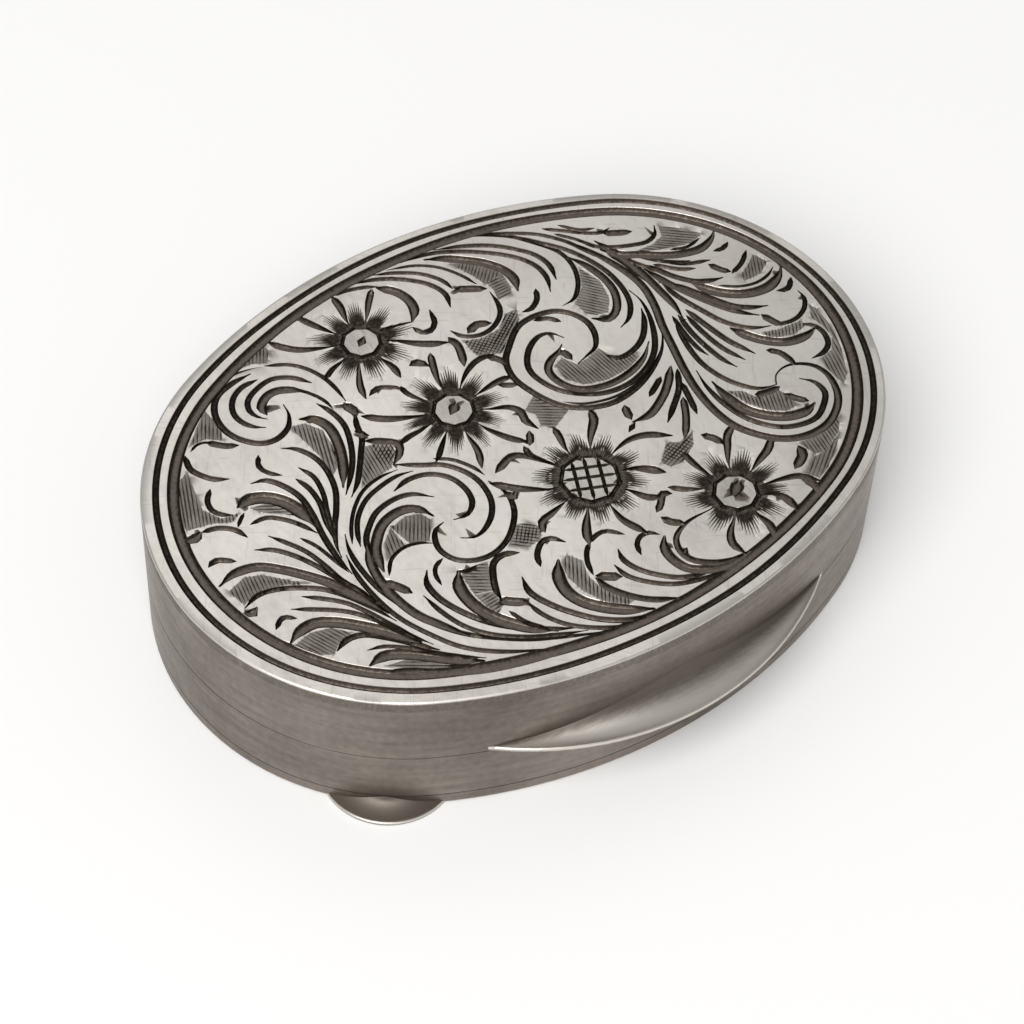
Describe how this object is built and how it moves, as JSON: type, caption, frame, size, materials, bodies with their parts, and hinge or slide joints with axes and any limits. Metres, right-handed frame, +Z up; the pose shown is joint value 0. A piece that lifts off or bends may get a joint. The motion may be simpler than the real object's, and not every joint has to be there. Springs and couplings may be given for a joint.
{
  "type": "pill box",
  "caption": "Oval silver pill box with an engraved hinged lid, a crescent thumb lip, and a second hinged lid underneath with a small tab.",
  "frame": {"origin": "centre of the oval on the underside of the closed bottom lid", "axes": "+X along the oval's long axis to the right, +Y towards the hinges at the back, +Z up; the crescent lip is on the -Y side"},
  "size_m": [0.046, 0.0372, 0.0101],
  "materials": {
    "engraved_silver": "bright worn silver, engraved, with oxide left in the cuts",
    "tarnished_silver": "satin silver with a grey-brown tarnish",
    "lip_silver": "satin silver, bright along its edges",
    "hinge_silver": "drawn silver tube and wire, tarnished in the joints",
    "inner_silver": "plain hand-finished silver"
  },
  "bodies": {
    "lid": {"lid_engraved_plate": "engraved_silver", "lid_band": "tarnished_silver", "lid_crescent_lip": "lip_silver", "lid_hinge_knuckles": "hinge_silver"},
    "body": {"body_band": "tarnished_silver", "body_dividing_floor": "inner_silver", "body_snap_rim": "inner_silver", "body_upper_hinge_knuckles": "hinge_silver", "upper_hinge_pin": "hinge_silver", "body_lower_hinge_knuckles": "hinge_silver", "lower_hinge_pin": "hinge_silver"},
    "bottom_lid": {"bottom_lid_plate": "tarnished_silver", "bottom_lid_snap_rim": "inner_silver", "bottom_lid_thumb_tab": "lip_silver", "bottom_lid_hinge_knuckles": "hinge_silver"}
  },
  "joints": [
    {"name": "lid_hinge", "type": "hinge", "parent": "body", "child": "lid", "pos_m": [0, 0.01755, 0.00473], "axis": [-1, 0, 0], "range_deg": [0, 110]},
    {"name": "bottom_lid_hinge", "type": "hinge", "parent": "body", "child": "bottom_lid", "pos_m": [0, 0.01755, 0.00093], "axis": [1, 0, 0], "range_deg": [0, 100]}
  ]
}
